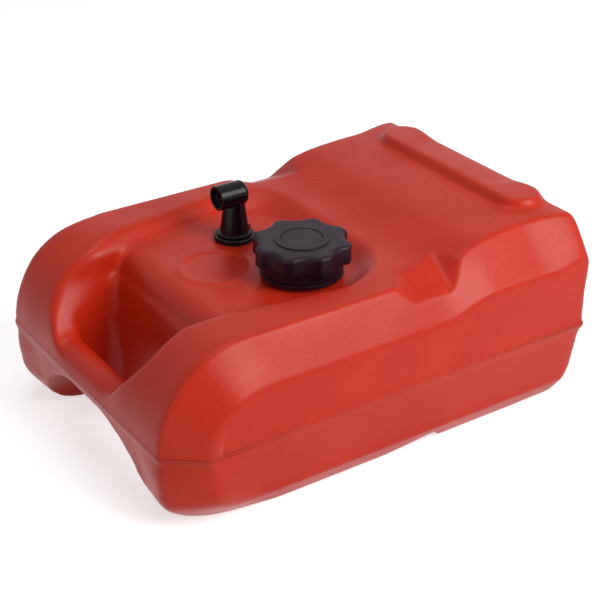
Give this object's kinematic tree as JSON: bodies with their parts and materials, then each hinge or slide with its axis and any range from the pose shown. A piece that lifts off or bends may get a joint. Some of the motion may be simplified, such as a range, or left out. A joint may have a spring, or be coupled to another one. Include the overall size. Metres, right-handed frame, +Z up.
{
  "type": "outboard fuel tank",
  "caption": "Low portable fuel tank with moulded handle bar, sunken deck, lobed ratcheting vent cap, elbow fuel outlet and strap seats.",
  "frame": {"origin": "middle of the tank's footprint, on the floor it stands on", "axes": "+X runs from the handle bar to the plain end, +Y across the tank towards the outlet's side, +Z up"},
  "size_m": [0.4096, 0.3016, 0.1922],
  "materials": {
    "tank_plastic": "satin",
    "cap_plastic": "satin",
    "outlet_plastic": "gloss",
    "seal_rubber": "matte",
    "spring_steel": "satin",
    "tube_plastic": "satin",
    "screen_mesh": "matte",
    "ball_steel": "gloss"
  },
  "bodies": {
    "tank": {"tank_shell": "tank_plastic", "outlet_gasket": "seal_rubber", "outlet_adapter": "outlet_plastic", "outlet_elbow": "outlet_plastic", "elbow_seal_ring": "seal_rubber", "check_seat": "tube_plastic", "check_spring": "spring_steel", "dip_tube": "tube_plastic", "strainer_cage": "tube_plastic", "strainer_screen": "screen_mesh"},
    "cap_seal": {"cap_gasket": "seal_rubber"},
    "cap_core": {"cap_inner_cup": "cap_plastic", "cap_snap_ring": "cap_plastic", "cap_ratchet_ring": "tube_plastic", "relief_valve_body": "tube_plastic", "relief_spring": "spring_steel", "relief_retainer": "tube_plastic"},
    "cap_hand": {"cap_grip": "cap_plastic", "cap_cover_disc": "cap_plastic"},
    "relief": {"relief_poppet": "tube_plastic", "vacuum_valve": "seal_rubber"},
    "check_valve": {"check_ball": "ball_steel"}
  },
  "joints": [
    {"name": "cap_lift", "type": "slide", "parent": "tank", "child": "cap_seal", "axis": [0, 0, 1], "range_m": [0, 0.12]},
    {"name": "cap_turn", "type": "hinge", "parent": "cap_seal", "child": "cap_core", "pos_m": [-0.021, -0.047, 0.162], "axis": [0, 0, 1], "range_deg": [0, 630]},
    {"name": "grip_click_over", "type": "hinge", "parent": "cap_core", "child": "cap_hand", "pos_m": [-0.021, -0.047, 0.165], "axis": [0, 0, 1], "range_deg": [-360, 0], "deforming": ["cap_ratchet_ring"]},
    {"name": "relief_lift", "type": "slide", "parent": "cap_core", "child": "relief", "axis": [0, 0, 1], "range_m": [0, 0.0015], "stiffness_N_per_m": 700, "springref_m": -0.0024, "deforming": ["relief_spring"]},
    {"name": "check_lift", "type": "slide", "parent": "tank", "child": "check_valve", "axis": [0, 0, 1], "range_m": [0, 0.003], "stiffness_N_per_m": 60, "springref_m": -0.0033, "deforming": ["check_spring"]}
  ]
}
